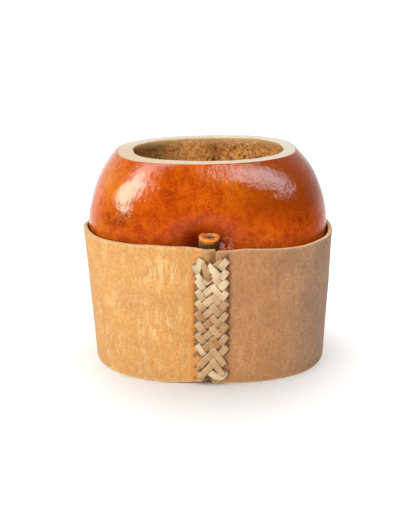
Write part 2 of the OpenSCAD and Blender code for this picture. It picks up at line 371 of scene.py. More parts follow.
def stub_material():
    """Stem stub: orange skin left on the cut end, dark pith in its hollow, fibrous brown sides."""
    material, tree, at = new_material("dry stem")
    fibres = spots(tree, stretched(tree, at, (1, 1, 0.25)), 1500, 4, 0.7)
    bark, straw = (0.0408, 0.0136, 0.00272), (0.4488, 0.272, 0.1224)
    side = mix(tree, ramp(tree, fibres, 0.45, 0.66), bark, straw)
    orange, rust = (0.78, 0.25, 0.006), (0.5, 0.11, 0.003)
    end = mix(tree, ramp(tree, spots(tree, at, 600, 3), 0.4, 0.65), orange, rust)
    uneven = ramp(tree, spots(tree, at, 900, 2), 0.3, 0.7, -0.35, 0.35)
    ragged = math_node(tree, "ADD", field(tree, "cut_end"), uneven)
    colour = mix(tree, ramp(tree, ragged, 0.36, 0.5), side, end)
    colour = mix(tree, field(tree, "pith"), colour, (0.06, 0.028, 0.02))
    normal = relief(tree, fibres, 0.0008, 0.8)
    return finish(material, {"IOR": 1.4, "Roughness": 0.5}, Base_Color=colour, Normal=normal)


def leather_colour(tree, at):
    """Grain side of the leather before its creases and stains: golden tan on the left, brown on
    the right and greyer at its far right by a painted sheen, with soft clouds, brown flecks and pale ones."""
    brown_side = field(tree, "brown_side")
    base = mix(tree, brown_side, (0.565, 0.277, 0.067), (0.40, 0.178, 0.062))
    base = mix(tree, field(tree, "yellowed"), base, (0.544, 0.272, 0.0646))
    # painted sheen: the far right greyer, as a grazing reflection of the pale surroundings
    base = mix(tree, field(tree, "painted_grey_sheen"), base, (0.30, 0.205, 0.137))
    toned = mottled(tree, stretched(tree, at, (1, 1, 0.7)), base, 160, 1500, 0.08, 0.12)
    brown = spots(tree, stretched(tree, at, (1, 1, 0.6)), 1150, 6, 0.8, 0.6)
    fleck = mix(tree, brown_side, (0.46, 0.168, 0.028), (0.29, 0.115, 0.036))
    colour = mix(tree, ramp(tree, brown, 0.47, 0.58, 0, 0.85), toned["Colour"], fleck)
    pale = ramp(tree, spots(tree, at, 900, 5, 0.75), 0.54, 0.64, 0, 0.5)
    pale = times(tree, pale, ramp(tree, brown_side, 0.2, 0.9, 1, 0.35))
    return mix(tree, pale, colour, (0.68, 0.42, 0.19))


def leather_material():
    """Tanned leather, grain side out: its mottled colour with upright creases, stains and the marks
    of the lacing with painted shade round its slits, painted shade where the left end turns in at
    the seam, and a fine grain."""
    material, tree, at = new_material("tanned leather")
    creased = field(tree, "creased")
    creases = spots(tree, stretched(tree, at, (1, 1, 0.2)), 240, 4, 0.55, 0.6)
    off_ridge = math_node(tree, "ABSOLUTE", math_node(tree, "SUBTRACT", creases, 0.5))
    broken = ramp(tree, spots(tree, at, 110, 3, 0.5), 0.42, 0.58, 0, 0.6)
    streak = times(tree, times(tree, ramp(tree, off_ridge, 0.07, 0.01), broken), creased)
    colour = mix(tree, streak, leather_colour(tree, at), (0.70, 0.45, 0.2))
    stain = times(tree, ramp(tree, spots(tree, at, 90, 7, 0.75), 0.45, 0.62), field(tree, "stained"))
    colour = mix(tree, times(tree, stain, 0.5), colour, (0.204, 0.102, 0.0544))
    # painted shade where the left end turns in at the seam and faces away from the light
    colour = mix(tree, field(tree, "painted_curl_shade"), colour, (0.204, 0.0816, 0.0272))
    colour = mix(tree, field(tree, "pulled"), colour, (0.62, 0.24, 0.045))
    # painted shade round the lacing's slits
    colour = mix(tree, field(tree, "hole"), colour, (0.22, 0.075, 0.016))
    fold = math_node(tree, "ADD", times(tree, creases, creased), streak)
    grain = spots(tree, at, 1100, 3, 0.75)
    normal = relief(tree, grain, 0.0004, 0.7, relief(tree, fold, 0.0006, 0.6))
    return finish(material, {"IOR": 1.45, "Roughness": 0.62}, Base_Color=colour, Normal=normal)


def leather_edge_material():
    """Cut edge and flesh side of the leather: paler and rougher than the grain side."""
    material, tree, at = new_material("raw leather edge")
    cut, flesh = (0.56, 0.38, 0.21), (0.306, 0.17, 0.0748)
    colour = mix(tree, field(tree, "flesh"), cut, flesh)
    toned = mottled(tree, at, colour, 220, 1500, 0.06, 0.06)
    nap = relief(tree, toned["Grain"], 0.0003, 0.6)
    return finish(material, {"IOR": 1.4, "Roughness": 0.85}, Base_Color=toned["Colour"], Normal=nap)


def rawhide_material():
    """Rawhide lace: from tan to cream by strand, with a painted highlight along its edges and painted
    shade where it dives into the leather, down its sides and under other laces, with fibres along it."""
    material, tree, at = new_material("rawhide lace")
    along = node(tree, "UVMap", {"uv_map": "strip"}).outputs[0]
    fibres = spots(tree, stretched(tree, along, (1, 9, 1)), 6, 4, 0.6)
    hide = mix(tree, field(tree, "tone"), (0.335, 0.14, 0.033), (0.58, 0.43, 0.26))
    # painted highlight along the lace's edges
    hide = mix(tree, times(tree, field(tree, "edge"), 0.45), hide, (0.612, 0.5168, 0.3808))
    toned = mottled(tree, at, hide, 300, 1300, 0.20, 0.08)["Colour"]
    colour = mix(tree, ramp(tree, fibres, 0.5, 0.75, 0, 0.25), toned, (0.2856, 0.1632, 0.0748))
    # painted shade at the lace's ends, down its sides and where it passes under another
    colour = mix(tree, field(tree, "painted_lace_shade"), colour, (0.15, 0.06, 0.016))
    normal = relief(tree, fibres, 0.0003, 0.5)
    return finish(material, {"IOR": 1.45, "Roughness": 0.45}, Base_Color=colour, Normal=normal)


# ------------------------------------------------------------------ gourd

def plan_reach(a, b, power, ang):
    """Distance from the middle to a superellipse of half sizes a and b in the direction ang."""
    return ((np.abs(np.cos(ang)) / a) ** power + (np.abs(np.sin(ang)) / b) ** power) ** (-1 / power)


def dimple(x, z):
    """Depth of the stem's dimple: a bell in x and in z."""
    return DIMPLE_DEPTH * hill(x - STEM[0], DIMPLE_W) * hill(z - STEM[2], DIMPLE_H)


def gourd_surface(shrink, phi, ang):
    """Point that lies shrink inside the skin. phi runs up the profile from straight down, so the
    level is -cos(phi) times a superellipse's reach; each level's plan is a superellipse whose
    half sizes follow the profile, turned and shifted a little towards the mouth, with the stem's
    dimple pressed into its front and its shoulders a little fuller at the ends."""
    level = np.clip(-np.cos(phi) * plan_reach(1, 1, PROFILE_N, phi), -1, 1)
    left = 1 - np.abs(level) ** PROFILE_N
    z = BELT_Z + (GOURD_R - shrink) * level
    up = np.maximum(0, (z - BELT_Z) / (MOUTH_Z - BELT_Z))
    a = np.maximum(1e-6, (GOURD_A - shrink) * left ** (1 / PROFILE_N))
    b = np.maximum(1e-6, (GOURD_B - shrink) * left ** (1 / DEPTH_N))
    reach = plan_reach(a, b, BELT_N + (MOUTH_N - BELT_N) * up, ang)
    turned = ang + MOUTH_YAW * up * up
    x, y = reach * np.cos(turned), reach * np.sin(turned)
    inward = np.where(y < 0, dimple(x, z), 0) * (1 - 0.3 * shrink / WALL)
    high = 0.8 * MM * hill(z - 74 * MM, 12 * MM) * ease(x, 22 * MM, 40 * MM)
    low = 0.35 * MM * hill(z - 60 * MM, 6 * MM) * np.sign(x) * ease(np.abs(x), 34 * MM, 44 * MM)
    return np.stack([x - MOUTH_SHIFT * up + high + low, y + inward + GOURD_Y, z + 0 * x], -1)


def cut_phi(shrink):
    """Direction of the profile's point at the mouth's height."""
    level = (MOUTH_Z - BELT_Z) / (GOURD_R - shrink)
    return math.pi / 2 + math.atan2(level, (1 - level**PROFILE_N) ** (1 / PROFILE_N))


def cut_ring(shrink, ang):
    """Ring of the surface that lies shrink inside the skin, at the mouth's height."""
    return gourd_surface(shrink, np.full((1, 1), cut_phi(shrink)), ang)


def mouth_rings(ang):
    """Outer and inner edge of the cut. The wall is a little thicker in some directions, and the
    hole lies a little to the right of the middle and behind it."""
    edge, lip = cut_ring(0, ang), cut_ring(WALL, ang)
    uneven = 0.05 * np.sin(2 * ang + 0.6) + 0.04 * np.sin(3 * ang + 2.0)
    lip = lip + uneven[..., None] * (lip - edge)
    lip[..., 0] += 1.0 * MM
    lip[..., 1] += 0.5 * MM
    lip[..., 2] = edge[..., 2]
    return edge, lip


def bend(before, corner, after):
    """Rows between two rings that round a corner: the quadratic curve that leans on it."""
    t = np.linspace(0, 1, BEND_STEPS)[1:-1, None, None]
    return (1 - t) ** 2 * before + 2 * t * (1 - t) * corner + t**2 * after


def gourd_rings(ang, edge, lip, inward):
    """Rings up the skin, round the rim's outer corner, across the cut, round its inner corner
    and down the inside, and the part that each row belongs to: 0 skin, 1 rim or 2 fibre."""
    climb = np.linspace(0, 1, SKIN_ROWS + 1)[1:, None] ** 0.9
    skin = gourd_surface(0, climb * (cut_phi(0) - RIM_ROUND / GOURD_R), ang)
    from_edge, to_lip = edge + inward * RIM_ROUND, lip - inward * LIP_ROUND
    rim = from_edge + (to_lip - from_edge) * np.linspace(0, 1, RIM_ROWS)[:, None, None]
    drop = np.linspace(1, 0, IN_ROWS + 1)[:-1, None] ** 0.9
    inside = gourd_surface(WALL, drop * (cut_phi(WALL) - LIP_ROUND / GOURD_R), ang)
    inside = inside + (lip - cut_ring(WALL, ang)) * hill(inside[..., 2:] - MOUTH_Z, 14 * MM)
    inside[..., 2] = np.minimum(inside[..., 2], MOUTH_Z - LIP_ROUND * 0.8)
    outer, inner = bend(skin[-1:], edge, rim[:1]), bend(rim[-1:], lip, inside[:1])
    points = np.concatenate([skin, outer, rim, inner, inside])
    row = np.arange(len(points))
    return points, np.where(row < SKIN_ROWS + 4, 0, np.where(row < LIP_ROW + 2, 1, 2))


def weathered(points, part, inward):
    """Pushes the rings along their normals by noise: soft dents in the skin and torn fibres
    inside. The lip is ragged, the cut has low saw waves, and the top sinks by a hair."""
    normals = grid_normals(points)
    mm = points / MM
    below = (MOUTH_Z - points[..., 2]) / MM
    near_mouth = ease(-below, -9, 0)
    dents = 0.30 * noise(mm, 26, 3) + 0.10 * noise(mm, 9, 5) + 0.03 * noise(mm, 3.2, 8)
    torn = 0.45 * layered(mm * [1, 1, 0.4], 4.5, 11) + 0.5 * noise(mm, 12, 15)
    torn = torn * ease(below, 0.2, 3) + 0.12 * noise(mm, 1.3, 19)
    push = np.where(part[:, None] == 0, dents * (1 - 0.8 * near_mouth), 0)
    push = np.where(part[:, None] == 2, torn, push)
    points = points + normals * push[..., None] * MM
    ragged = noise(points * [1, 1, 0], 2.1 * MM, 23) + 0.6 * noise(points * [1, 1, 0], 0.9 * MM, 24)
    near_lip = hill(np.arange(len(points))[:, None] - LIP_ROW, 3.0)
    points = points + (0.22 * MM * ragged * near_lip)[..., None] * inward
    points[..., 2] += 0.12 * MM * noise(points * [1, 1, 0], 15 * MM, 29) * near_mouth
    points[..., 2] -= 0.4 * MM * ease(points[..., 2], 60 * MM, MOUTH_Z)
    points[..., 2] = np.minimum(points[..., 2], MOUTH_Z + 0.05 * MM)
    return points


def stains(x, z):
    """Sum of a few soft oval clouds on the skin's front, in millimetres."""
    ovals = (
        # middle in x and z, half width, half height, strength
        (-14.5, 75.5, 3.5, 4.5, 0.9), (-20.5, 69.0, 2.5, 4.0, 0.5), (-36.0, 64.0, 5.0, 3.5, 0.8),
        (-30.0, 66.0, 6.0, 2.5, 0.5), (35.5, 63.5, 5.5, 5.0, 0.9), (40.0, 72.0, 3.5, 5.0, 0.6),
        (-7.0, 81.0, 9.0, 2.0, 0.4), (15.0, 64.0, 4.0, 3.0, 0.35))
    return sum(s * hill(x - a, w) * hill(z - b, h) for a, b, w, h, s in ovals)


def gourd_fields(points, across):
    """Named numbers that place the gourd's colours: bells and smooth steps in millimetres, from
    the ground's middle, the stem or the gourd's middle."""
    x, y, z = np.moveaxis(points - [0, GOURD_Y, 0], -1, 0) / MM
    stem_x, stem_z = x - STEM[0] / MM, z - STEM[2] / MM
    front = y < 0
    # painted shade in the stem's dimple, darkest a little left of and below the stem
    shade = 1.3 * hill(stem_x + 1.5, 10.5) * hill(stem_z + 1, 5.5)
    return {
        "across": across,
        "near_stem": 0.85 * front * hill(np.hypot(stem_x, stem_z), 21),
        "amber_patch": 0.48 * front * hill(x + 37, 5) * hill(z - 76, 5),
        "shade": front * np.clip(shade, 0, 1),
        "chalk": front * hill(stem_x - 7, 2.6) * hill(stem_z + 1.6, 2.4),
        # painted shade over the upper right of the skin
        "painted_right_shade": 0.85 * ease(x, 2, 28) * ease(z, 60, 72),
        "stain": front * stains(x, z),
        "bleached": np.clip(0.6 * ease(x, -25, 30) + 0.8 * ease(y, -4, 14), 0, 1),
        # painted shade on the left of the inside wall
        "painted_left_shade": 0.85 * ease(-x, 5, 24),
        "band": 0.85 * ~front * hill(x - 3, 3),
        "lip": hill(z - MOUTH_Z / MM, 2.8),
    }


def add_rays(piece, points):
    """Vector attribute in which noise runs in rays from the stem: a circle of the direction from
    the stem, and the distance from it in units of 16 mm, which changes slowly."""
    theta = np.arctan2(points[:, 2] - STEM[2], points[:, 0] - STEM[0])
    far = np.hypot(points[:, 0] - STEM[0], points[:, 2] - STEM[2])
    rays = np.stack([9 * np.cos(theta), 9 * np.sin(theta), far / (16 * MM)], -1)
    layer = piece.data.attributes.new("rays", "FLOAT_VECTOR", "POINT")
    layer.data.foreach_set("vector", rays.ravel())


def make_gourd(materials):
    """Grid of rings over the skin, the cut and the inside, closed by a point at each pole."""
    ang = np.linspace(0, 2 * math.pi, GOURD_COLS, endpoint=False)[None, :]
    edge, lip = mouth_rings(ang)
    span = np.linalg.norm(lip - edge, axis=-1, keepdims=True)
    inward = (lip - edge) / span
    points, part = gourd_rings(ang, edge, lip, inward)
    points = weathered(points, part, inward)
    from_edge = np.linalg.norm(points[..., :2] - edge[..., :2], axis=-1)
    fields = gourd_fields(points, np.clip(from_edge / span[..., 0], 0, 1.3))

    rows, cols = part.size, GOURD_COLS
    i = np.arange(cols)
    j = (i + 1) % cols
    low_pole, in_pole, last_row = rows * cols, rows * cols + 1, (rows - 1) * cols
    fans = np.concatenate([np.stack([np.full(cols, low_pole), j, i], -1),
                           np.stack([np.full(cols, in_pole), last_row + i, last_row + j], -1)])
    slots = np.concatenate([np.repeat(part[:-1], cols), np.zeros(cols), np.full(cols, 2)])
    fields = {key: np.append(np.ravel(values), [0, 0]) for key, values in fields.items()}
    poles = np.array([[0, GOURD_Y, GOURD_LO[2]], [0, GOURD_Y, GOURD_LO[2] + WALL]])
    points = np.concatenate([points.reshape(-1, 3), poles])
    quads = grid_faces(rows, cols, False, True)
    piece = put_mesh("gourd_body", points, [quads, fans], materials, slots, fields)
    add_rays(piece, points)
    return piece


def make_stub(material):
    """Stem stub: oval rings carried along a path that leans from the level to steeply up, with
    ribs round its sides, then rings that shrink over the cut end into an oval hollow."""
    cols, side_rows, end_rows = 96, 40, 22
    theta = np.linspace(0, 2 * math.pi, cols, endpoint=False)[None, :]
    t = np.linspace(0, 1, side_rows)[:, None]
    root = np.array([STEM[0], GOURD_LO[1] + DIMPLE_DEPTH + WALL / 2, STEM[2] - 2.0 * MM])
    end = np.array([STEM[0] + 0.3 * MM, GOURD_LO[1] + STUB_T / 2, STEM[2] + 1.9 * MM])
    middle = (root + (end - root) * np.concatenate([t, t, t * t], 1))[:, None, :]
    girth = 1 + 0.25 * (1 - t) * (1 - 2 * t)
    ribs = 1 + 0.05 * np.sin(17 * theta + 1.3) * (1 - 0.5 * t) + 0.04 * np.sin(29 * theta + 4 * t)
    ribs = ribs - 0.10 * ease(t, 0.75, 0.95) * (1 - ease(t, 0.95, 1.0))
    side_u = STUB_W / 2 * girth * ribs * np.cos(theta)
    side_v = STUB_T / 2 * girth * ribs * np.sin(theta)

    s = np.linspace(1, 0, end_rows + 1)[1:-1, None]
    end_u, end_v = side_u[-1:] * s, side_v[-1:] * s
    hollow = hill(end_u - 0.4 * MM, 2.1 * MM) ** 2 * hill(end_v - 0.1 * MM, 1.25 * MM) ** 2
    collar = 0.35 * MM * (1 - s**6) + 0.25 * MM * hill(s - 0.75, 0.15)
    rise = collar - STUB_HOLLOW * np.clip(1.6 * hollow, 0, 1)

    lean = np.radians(20 + 48 * t)
    lean = np.concatenate([lean, np.full((len(s), 1), lean[-1, 0])])
    middle = np.concatenate([middle, np.repeat(middle[-1:], len(s), 0)])
    u, v = np.concatenate([side_u, end_u]), np.concatenate([side_v, end_v])
    height = np.concatenate([np.zeros_like(side_u), rise])
    out = np.stack([0 * lean, -np.cos(lean), np.sin(lean)], -1)
    over = np.stack([0 * lean, np.sin(lean), np.cos(lean)], -1)
    points = middle + v[..., None] * over + height[..., None] * out
    points[..., 0] += u
    points = points + 0.10 * MM * noise(points, 0.9 * MM, 41)[..., None] * np.array([1, -0.5, 0.5])
    tip = middle[-1, 0] + out[-1, 0] * (0.3 * MM - STUB_HOLLOW)

    cut_end = np.concatenate([ease(t, 0.72, 1.05) + 0 * theta, np.ones_like(end_u)])
    pith = np.concatenate([np.zeros_like(side_u), np.clip(1.8 * hollow, 0, 1)])
    rows, i = len(points), np.arange(cols)
    ring = (rows - 1) * cols + i
    fan = np.stack([np.full(cols, rows * cols), ring, np.roll(ring, -1)], -1)
    faces = [grid_faces(rows, cols, False, True), fan, i[::-1][None, :]]
    fields = {"cut_end": np.append(cut_end, 1), "pith": np.append(pith, 1)}
    points = np.concatenate([points.reshape(-1, 3), tip[None]])
    return put_mesh("stem_stub", points, faces, [material], None, fields)


# ------------------------------------------------------------------ leather sleeve

def sleeve_plan(z, out):
    """Half width, half depth and power of the superellipse that is the sleeve's plan at z, at the
    distance out from its inner face. It's rounder at the ground than where it grips the gourd."""
    a = SLEEVE_A - SLEEVE_DRAFT * (1 - z / SLEEVE_H) - LEATHER + out
    b = SLEEVE_B + SLEEVE_FLARE * np.maximum(0, 1 - z / BELT_Z) - LEATHER + out
    return a, b, SLEEVE_LOW_N + (SLEEVE_N - SLEEVE_LOW_N) * ease(z, 0, 40 * MM)


def lean_x(z):
    """Shift of the sleeve's middle to the right, which grows in a line down to the ground."""
    return SLEEVE_LEAN * (1 - z / SLEEVE_H)


def seam_x(z):
    """The seam at z, on a straight line from the ground to the top edge."""
    return SEAM_LOW_X + (SEAM_TOP_X - SEAM_LOW_X) * z / SLEEVE_H


def front_point(x, z, lift):
    """Point of the sleeve's front at x and z, lifted off the leather by lift."""
    a, b, power = sleeve_plan(z, LEATHER + lift)
    left = np.maximum(0, 1 - np.abs((x - lean_x(z)) / a) ** power) ** (1 / power)
    return np.stack([x, SLEEVE_Y - b * left, z], -1)


def front_angle(x, z):
    """Direction from the sleeve's middle to its front at x and z."""
    return -math.pi / 2 + np.arctan((x - lean_x(z)) / sleeve_plan(z, LEATHER)[1])


def lace_holes():
    """x and z of the slits that the laces go through: a row down each side of the lacing."""
    left = [(LACING_X - LACING_HALF, falling_edges(k)[0] + 0.3 * MM) for k in range(3, 10)]
    left += [(LACING_X - LACING_HALF, rising_edges(k)[4]) for k in range(9)]
    right = [(LACING_X + LACING_HALF, rising_edges(k)[0] + 0.3 * MM) for k in range(9)]
    return left + right


def strip_section():
    """The leather's cut across, as a loop of rows up the outer face, round the top edge, down the
    inner face and round the ground edge. Each row has its share of the way up, how far it lies
    past the edge, and its depth from the outer face."""
    quarter = np.linspace(0, math.pi / 2, 5)
    past = EDGE_ROUND * np.r_[np.sin(quarter), np.cos(quarter[1:])]
    outer, inner = EDGE_ROUND * (1 - np.cos(quarter)), EDGE_ROUND * (1 - np.sin(quarter[1:]))
    depth = np.r_[outer, LEATHER - inner]
    up, down = np.zeros(UP_ROWS), np.zeros(DOWN_ROWS)
    climb = np.r_[np.linspace(0, 1, UP_ROWS), 1 + 0 * past, np.linspace(1, 0, DOWN_ROWS), 0 * past]
    lift = np.r_[up, past, down, -past]
    inset = np.r_[up, depth, down + LEATHER, LEATHER - depth]
    return climb[:, None], lift[:, None], inset[:, None]


def strip_way(z):
    """The strip's way round at the heights z: from the seam round to where its left end turns in,
    and on behind the right end. Each column has its direction, how far it is tucked in behind,
    and its distances from the strip's start and end."""
    part = np.r_[np.linspace(0, 0.02, 10)[:-1], np.linspace(0.02, 0.96, 380),
                 np.linspace(0.96, 1, 20)[1:], np.linspace(1, 2, 50)[1:]][None, :]
    first = front_angle(seam_x(z), z)
    turn = 2 * math.pi + front_angle(seam_x(z) - LAP_TURN, z)
    last = 2 * math.pi + front_angle(seam_x(z) + LAP_L, z)
    ang = np.where(part <= 1, first + (turn - first) * part, turn + (last - turn) * (part - 1))
    tuck = LAP_DEPTH * ease((part - 1) * (LAP_TURN + LAP_L) / LAP_TURN, 0, 1)
    return ang, tuck, (ang - first) * SLEEVE_B, (last - ang) * SLEEVE_B


def corner_fall(distance, radius):
    """How far a corner rounded by the radius falls back at a distance from the strip's end."""
    return radius - np.sqrt(np.maximum(0, radius**2 - np.maximum(0, radius - distance) ** 2))


def top_edge(x, y, ang, from_start, from_end):
    """Height of the top edge: a slope with a dip at the seam, rounded at the strip's start and
    cut lower at its hidden end, with slow waves, a sag on each side of the front, and lower
    behind."""
    across = x / MM
    slope = SLEEVE_H - EDGE_SLOPE * x - (y < SLEEVE_Y) * SEAM_DIP * hill(x - SEAM_TOP_X, 6 * MM)
    waves = 0.18 * np.sin(ang * 5 + 0.6) + 0.12 * np.sin(ang * 11 + 2)
    cut = 2.2 * ease(-from_end / MM, -3.4, -2.0)
    sag = 0.9 * ease(-across, 18, 30) + 0.7 * ease(across, 4, 10) * ease(-across, -44, -36)
    behind = ease((y - SLEEVE_Y) / MM, -14, 16)
    top = slope - corner_fall(from_start, CORNER_ROUND) + MM * (waves - cut - sag * (1 - behind))
    return top - (BACK_DROP - 0.028 * x) * behind


def hole_marks(x, z):
    """Bells of height one round the slits of the lacing."""
    marks = np.zeros_like(x)
    for hole_x, hole_z in lace_holes():
        marks = np.maximum(marks, hill(x - hole_x, 0.8 * MM) * hill(z - hole_z, 0.75 * MM))
    return marks


def sleeve_fields(points, inset, from_start, from_end, creased, facing, hole):
    """Named numbers that place the leather's colours: bells and smooth steps in millimetres."""
    x, y, z = np.moveaxis(points, -1, 0) / MM
    low = ease(-z, -30, -6)
    beside = hill(x - (LACING_X - LACING_HALF) / MM + 0.8, 1.4)
    return {
        "brown_side": 1 - ease(from_start / SLEEVE_B, 1.2, 4.2),
        "yellowed": 0.8 * facing * ease(-x, -2, 20) * low,
        # painted sheen: greyer over the far right of the front
        "painted_grey_sheen": 0.75 * facing * ease(x, 22, 46),
        "stained": 0.35 + hill(x - 32, 22) * (0.2 + 0.5 * ease(z, 10, 50)),
        "creased": np.clip(creased, 0, 1) * (0.4 + 0.6 * facing),
        # painted shade along the left end, where it turns in at the seam
        "painted_curl_shade": 0.75 * hill(np.maximum(0, from_end / MM - 3), 2.6),
        "pulled": 0.55 * beside * (y < SLEEVE_Y / MM) * (z < 53),
        # painted shade round the slits, where the leather is pressed in
        "hole": np.clip(hole, 0, 0.7),
        "flesh": ease(inset + 0 * x, 0.9 * LEATHER, LEATHER),
    }


def make_sleeve(materials):
    """Strip of leather: the loop of its cut across is carried round a superellipse, from the seam
    to the end that turns in behind it. Noise along the way gives it creases and soft waves."""
    climb, lift, inset = strip_section()
    z = climb * SLEEVE_H
    ang, tuck, from_start, from_end = strip_way(z)
    thin = corner_fall(np.minimum(from_start, from_end), EDGE_ROUND)
    out = np.clip(LEATHER - np.clip(inset, 0, LEATHER), thin, LEATHER - thin) - tuck
    middle = np.stack([np.cos(ang), np.sin(ang)], -1)
    reach = plan_reach(*sleeve_plan(z, out), ang)
    x = reach * middle[..., 0] + lean_x(z)
    y = reach * middle[..., 1] + SLEEVE_Y
    x = x - 0.9 * MM * (1 - z / SLEEVE_H) * np.minimum(0, x) / SLEEVE_A

    low = 0.5 * MM * hill(from_start, 0.8 * MM) + 0.7 * MM * hill(from_end, 14 * MM)
    top = top_edge(x, y, ang, from_start, from_end)
    height = EDGE_ROUND + low + climb * (top - low - 2 * EDGE_ROUND) + lift
    points = np.stack([x, y, height], -1)

    front = y < SLEEVE_Y
    facing = 1 - ease(y - SLEEVE_Y, -8 * MM, 22 * MM)
    around = np.stack([ang * SLEEVE_A + 0.06 * height, height * 0.10, 0 * ang], -1)
    creased = hill(x + 17 * MM, 9 * MM) + 0.5 * hill(x + 38 * MM, 5 * MM) + 0.2
    fold = 0.12 * MM * layered(around, 2.0 * MM, 51) * creased * facing
    slow = 0.22 * MM * noise(points, 30 * MM, 55) + 0.07 * MM * noise(points, 8 * MM, 57)
    # bells round the slits: they press the leather in, and also place painted shade in its colour
    hole = hole_marks(x, height) * front * (from_end > 0.1 * MM) * (inset < LEATHER / 2)
    pulled = 0.25 * MM * hill(np.abs(x - LACING_X) - LACING_HALF, 2.2 * MM) * front
    is_outer = 1 - ease(inset, 0.2 * LEATHER, 0.8 * LEATHER)
    seat = ease(from_end, 0, 9 * MM)
    push = slow * seat + (fold - 0.55 * MM * hole - pulled * seat) * is_outer
    points[..., :2] += middle * push[..., None]
    points[..., 2] = np.maximum(points[..., 2], 0)

    rows, cols = ang.shape
    quads = grid_faces(rows, cols, True, False)
    ring = np.arange(rows) * cols
    caps = np.stack([ring, (ring + cols - 1)[::-1]])
    raw_from = UP_ROWS + 3
    slots = np.append(quads[:, 0] // cols >= raw_from, [True, True])
    fields = sleeve_fields(points, inset, from_start, from_end, creased, facing, hole)
    return put_mesh("leather_sleeve", points, [quads, caps], materials, slots, fields)


# ------------------------------------------------------------------ lacing

def lace_strip(across, height, lift, width):
    """Flat lace along a path on the sleeve's front, given by its distance across from the lacing's
    middle, its height and its lift. The cut across is a superellipse, nearly a rectangle, set
    square to the path and level with the leather."""
    sides = 20
    path = front_point(LACING_X + across, height, lift)
    along = np.gradient(path, axis=0)
    along /= np.linalg.norm(along, axis=1, keepdims=True)
    beside = np.cross(along, np.array([0.0, -1.0, 0.0]))
    beside /= np.maximum(np.linalg.norm(beside, axis=1, keepdims=True), 1e-9)
    above = np.cross(beside, along)
    theta = np.linspace(0, 2 * math.pi, sides, endpoint=False)[None, :]
    flat = np.sign(np.cos(theta)) * np.abs(np.cos(theta)) ** 0.25 / 2
    tall = np.sign(np.sin(theta)) * np.abs(np.sin(theta)) ** 0.35 * LACE_T / 2
    tall = tall - 0.05 * MM * (2 * flat) ** 2
    width = np.broadcast_to(width, across.shape)[:, None]
    points = path[:, None] + (flat * width)[..., None] * beside[:, None] + tall[..., None] * above[:, None]
    run = np.cumsum(np.r_[0, np.linalg.norm(np.diff(path, axis=0), axis=1)])
    uv = np.stack([run[:, None] / LACE_W + 0 * theta, 0.5 + flat + 0 * run[:, None]], -1)
    return points, uv


def smoothed(values, reach):
    """Running average with a bell of the given reach in samples."""
    bell = hill(np.arange(-2 * reach, 2 * reach + 1), reach)
    return np.convolve(np.pad(values, 2 * reach, mode="edge"), bell / bell.sum(), "valid")


def woven_path(first, last, heights, from_right, stay_over):
    """Path of one lace over the columns from first to last, where heights are its heights at the
    five column edges. Its lift swings between over and under once in each column, or stays over
    from the third column on, and it dives into the leather at both ends."""
    c = np.linspace(first + 0.06, last - 0.06, 14 + int(24 * (last - first)))
    across = (c / 2 - 1) * LACING_HALF * (-1 if from_right else 1)
    height = smoothed(np.interp(c, np.arange(5), heights), 5)
    across = across * (0.86 + 0.14 * ease(height, 5 * MM, 15 * MM))
    swing = np.tanh(3.0 * np.sin(math.pi * c))
    swing = np.where(stay_over & (c > 2.5), 1.0, swing)
    dive = hill(c - c[0], 0.15) + hill(c - c[-1], 0.15)
    lift = smoothed(1.0 * MM + 0.5 * MM * swing, 2) - 1.9 * MM * dive
    return across, height, lift, dive


def row(top, step, k):
    """Height of the k-th lace of a column, whose steps grow slowly downwards."""
    return (top - step * k - 0.052 * k * k) * MM


def falling_edges(k):
    """Heights at the column edges of a lace that falls to the right: k counts in column three."""
    first, third = row(42.8, 4.2, k - 3), row(44.1, 4.0, k)
    return np.array([first, first, third, third, third]) + np.array([2.4, -2.3, 2.1, -2.0, -6.0]) * MM


def rising_edges(k):
    """Heights at the column edges, from the right, of a lace that falls to the left."""
    first, third = row(50.7, 4.03, k), row(43.8, 4.18, k)
    return np.array([first, first, third, third, third]) + np.array([2.2, -2.1, 1.5, -1.4, -5.0]) * MM


# Laces that end at the top and the foot: width in millimetres, tone, and the corners of the path
# as across, height and lift in millimetres
LOOSE_ENDS = (
    (2.0, 1.0, ((-6.6, 50.4, 0.0), (-6.4, 49.4, 0.9), (-6.0, 48.0, 0.9), (-5.7, 46.8, 0.0))),
    (2.1, 1.0, ((-5.6, 45.8, 0.2), (-5.3, 48.0, 1.4), (-4.9, 50.4, 1.5), (-4.3, 52.2, 1.0),
                (-3.9, 52.8, 0.2))),
    (2.3, -0.35, ((-4.6, 52.2, 0.3), (-3.5, 50.8, 1.5), (-2.4, 48.6, 1.9), (-1.8, 46.4, 1.7),
                  (-1.5, 44.9, 0.6))),
    (2.1, -0.9, ((-3.8, 44.8, 0.6), (-2.6, 45.3, 1.7), (-1.0, 44.9, 2.1), (0.4, 43.9, 0.8))),
    (2.0, 1.0, ((-6.0, 46.8, 0.3), (-5.1, 45.7, 1.4), (-4.1, 44.2, 1.5), (-3.4, 42.9, 0.4))),
    (2.3, -0.3, ((0.3, 48.7, 0.3), (1.7, 50.0, 1.1), (3.3, 51.2, 1.2), (4.6, 52.2, 0.4))),
    (2.7, 0.9, ((-1.9, 50.2, 0.2), (-0.8, 49.4, 1.6), (0.9, 47.8, 2.0), (2.6, 46.0, 1.9),
                (3.7, 44.8, 0.5))),
    (1.6, 0.8, ((-4.9, 6.6, 0.3), (-4.8, 4.8, 0.9), (-4.5, 3.4, 0.9), (-3.6, 2.6, 0.8),
                (-2.8, 3.4, 0.2))),
    (2.7, 0.95, ((-1.6, 6.4, 0.4), (-0.2, 5.0, 1.2), (1.4, 3.9, 1.3), (3.2, 3.3, 1.3),
                 (4.7, 4.2, 1.1), (5.4, 6.8, 0.2))),
)


